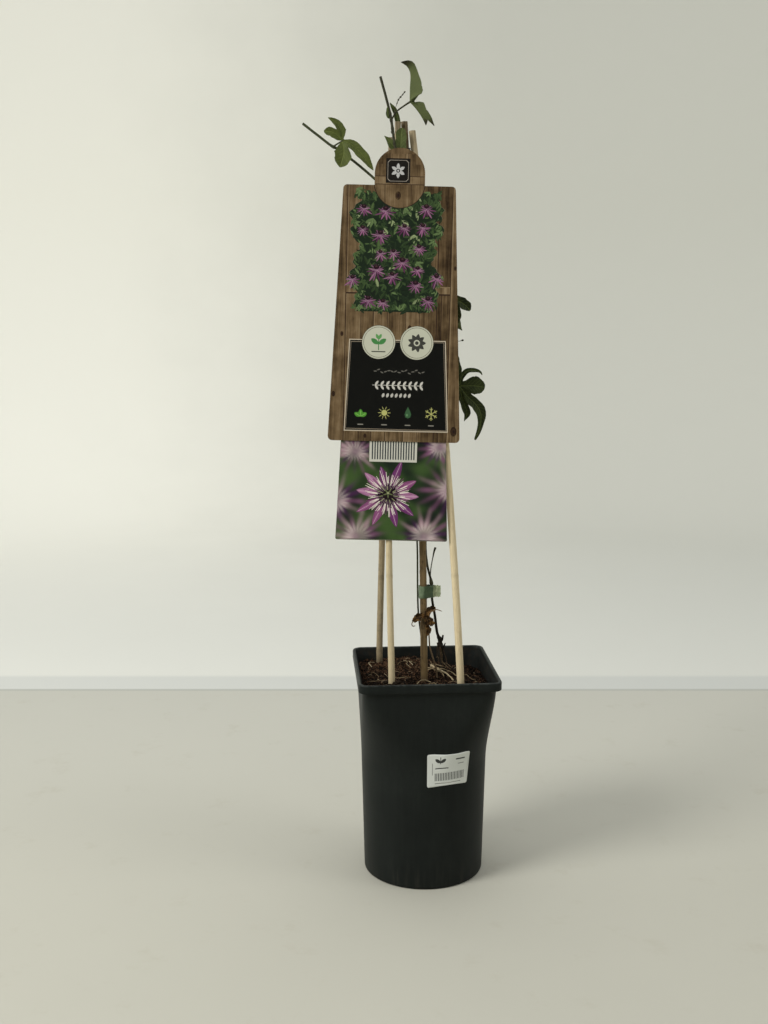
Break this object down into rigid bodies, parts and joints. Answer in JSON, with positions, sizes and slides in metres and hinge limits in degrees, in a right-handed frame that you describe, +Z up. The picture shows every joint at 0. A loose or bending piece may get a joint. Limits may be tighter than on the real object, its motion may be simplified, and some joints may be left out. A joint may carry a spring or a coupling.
{
  "type": "potted passion flower plant",
  "caption": "Young climbing passion flower cut back to leafy shoots, trained on bamboo canes in a square-rimmed nursery pot of soil, with a printed card label hung on the canes.",
  "frame": {"origin": "centre of the pot's flat underside, on the surface that it stands on", "axes": "+Z up along the pot, -Y towards the label's face, +X to the right when the label is read"},
  "size_m": [0.1838, 0.1366, 0.7823],
  "materials": {
    "pot_plastic": "dark green-black moulded polypropylene, satin",
    "soil": "crumbly brown peat with fibres",
    "cane_weathered": "weathered grey-brown bamboo",
    "cane_light": "light tan bamboo, low sheen",
    "cane_brown": "brown mottled bamboo",
    "black_tie": "soft black plastic tie",
    "green_tape": "thin green tying tape",
    "vine": "green leaf and stem tissue, satin",
    "dry_leaf": "dead brown leaf, matte",
    "sticker": "white adhesive label, semi gloss",
    "picture_print": "coated card with a printed picture",
    "board_print": "coated card printed as brown wood planks",
    "plain_card": "plain uncoated card"
  },
  "bodies": {
    "root": {"pot": "pot_plastic", "soil": "soil", "cane_back_left": "cane_weathered", "cane_front_left": "cane_light", "cane_centre": "cane_brown", "cane_right": "cane_light", "cane_tie": "black_tie", "tape_tie": "green_tape", "main_vine": "vine", "left_vine": "vine", "dried_leaf": "dry_leaf", "pot_sticker": "sticker", "picture_card": "picture_print", "label_board": "board_print", "label_strap": "plain_card"}
  },
  "joints": []
}
